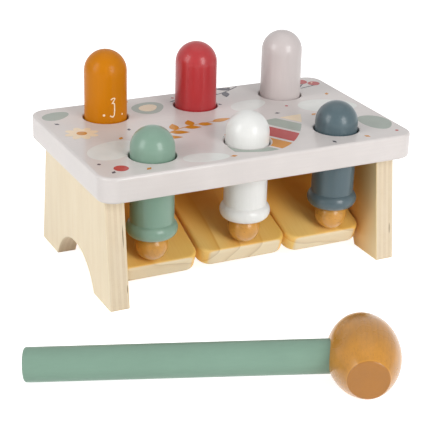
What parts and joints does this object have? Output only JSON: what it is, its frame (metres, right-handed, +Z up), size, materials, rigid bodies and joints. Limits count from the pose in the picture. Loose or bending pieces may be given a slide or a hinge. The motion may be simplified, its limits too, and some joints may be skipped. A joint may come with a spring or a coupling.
{
  "type": "toy workbench",
  "caption": "Wooden toy hammer bench: painted board on plywood sides, domed pegs that rise and fall over rocking planks, and a barrel-headed mallet with a round handle.",
  "frame": {"origin": "on the floor, midway between the four feet of the bench", "axes": "+X along the board to the right as seen from the front, +Y from front to back, +Z up"},
  "size_m": [0.2651, 0.2717, 0.1244],
  "materials": {
    "board_paint": "satin paint over fibreboard, pale warm grey",
    "plywood": "clear lacquered birch plywood",
    "dowel_wood": "plain beech",
    "rod_steel": "drawn steel wire",
    "pine": "clear lacquered pine",
    "ball_wood": "clear lacquered beech",
    "head_wood": "honey stain under clear lacquer",
    "handle_paint": "satin sage green paint",
    "green_paint": "gloss green paint over turned beech",
    "white_paint": "gloss white paint over turned beech",
    "slate_paint": "gloss slate paint over turned beech",
    "ochre_paint": "gloss ochre paint over turned beech",
    "red_paint": "gloss red paint over turned beech",
    "lilac_paint": "gloss lilac paint over turned beech"
  },
  "bodies": {
    "bench": {"top_board": "board_paint", "left_side_panel": "plywood", "right_side_panel": "plywood", "left_front_dowel": "dowel_wood", "left_back_dowel": "dowel_wood", "right_front_dowel": "dowel_wood", "right_back_dowel": "dowel_wood", "pivot_rod": "rod_steel"},
    "lever_left": {"left_lever": "pine"},
    "peg_front_left": {"front_left_peg": "green_paint", "front_left_ball": "ball_wood"},
    "peg_back_left": {"back_left_peg": "ochre_paint", "back_left_ball": "ball_wood"},
    "lever_centre": {"centre_lever": "pine"},
    "peg_front_centre": {"front_centre_peg": "white_paint", "front_centre_ball": "ball_wood"},
    "peg_back_centre": {"back_centre_peg": "red_paint", "back_centre_ball": "ball_wood"},
    "lever_right": {"right_lever": "pine"},
    "peg_front_right": {"front_right_peg": "slate_paint", "front_right_ball": "ball_wood"},
    "peg_back_right": {"back_right_peg": "lilac_paint", "back_right_ball": "ball_wood"},
    "mallet": {"mallet_head": "head_wood", "mallet_handle": "handle_paint"}
  },
  "joints": [
    {"name": "left_lever_rock", "type": "hinge", "parent": "bench", "child": "lever_left", "pos_m": [-0.0598, 0, 0.0244], "axis": [-1, 0, 0], "range_deg": [0, 40.14]},
    {"name": "front_left_peg_slide", "type": "slide", "parent": "bench", "child": "peg_front_left", "axis": [0, 0, 1], "range_m": [0, 0.02447]},
    {"name": "back_left_peg_slide", "type": "slide", "parent": "bench", "child": "peg_back_left", "axis": [0, 0, 1], "range_m": [-0.02447, 0]},
    {"name": "centre_lever_rock", "type": "hinge", "parent": "bench", "child": "lever_centre", "pos_m": [0, 0, 0.0244], "axis": [-1, 0, 0], "range_deg": [0, 35.96]},
    {"name": "front_centre_peg_slide", "type": "slide", "parent": "bench", "child": "peg_front_centre", "axis": [0, 0, 1], "range_m": [0, 0.02203]},
    {"name": "back_centre_peg_slide", "type": "slide", "parent": "bench", "child": "peg_back_centre", "axis": [0, 0, 1], "range_m": [-0.02203, 0]},
    {"name": "right_lever_rock", "type": "hinge", "parent": "bench", "child": "lever_right", "pos_m": [0.0598, 0, 0.0244], "axis": [-1, 0, 0], "range_deg": [0, 40.71]},
    {"name": "front_right_peg_slide", "type": "slide", "parent": "bench", "child": "peg_front_right", "axis": [0, 0, 1], "range_m": [0, 0.0248]},
    {"name": "back_right_peg_slide", "type": "slide", "parent": "bench", "child": "peg_back_right", "axis": [0, 0, 1], "range_m": [-0.0248, 0]},
    {"name": "mallet_lift", "type": "slide", "parent": "bench", "child": "mallet", "axis": [0, 0, 1], "range_m": [0, 0.15]}
  ],
  "couplings": [
    {"joint": "front_left_peg_slide", "follows": "left_lever_rock", "m_per_rad": 0.034913},
    {"joint": "back_left_peg_slide", "follows": "left_lever_rock", "m_per_rad": -0.034913},
    {"joint": "front_centre_peg_slide", "follows": "centre_lever_rock", "m_per_rad": 0.035081},
    {"joint": "back_centre_peg_slide", "follows": "centre_lever_rock", "m_per_rad": -0.035081},
    {"joint": "front_right_peg_slide", "follows": "right_lever_rock", "m_per_rad": 0.034888},
    {"joint": "back_right_peg_slide", "follows": "right_lever_rock", "m_per_rad": -0.034888}
  ]
}
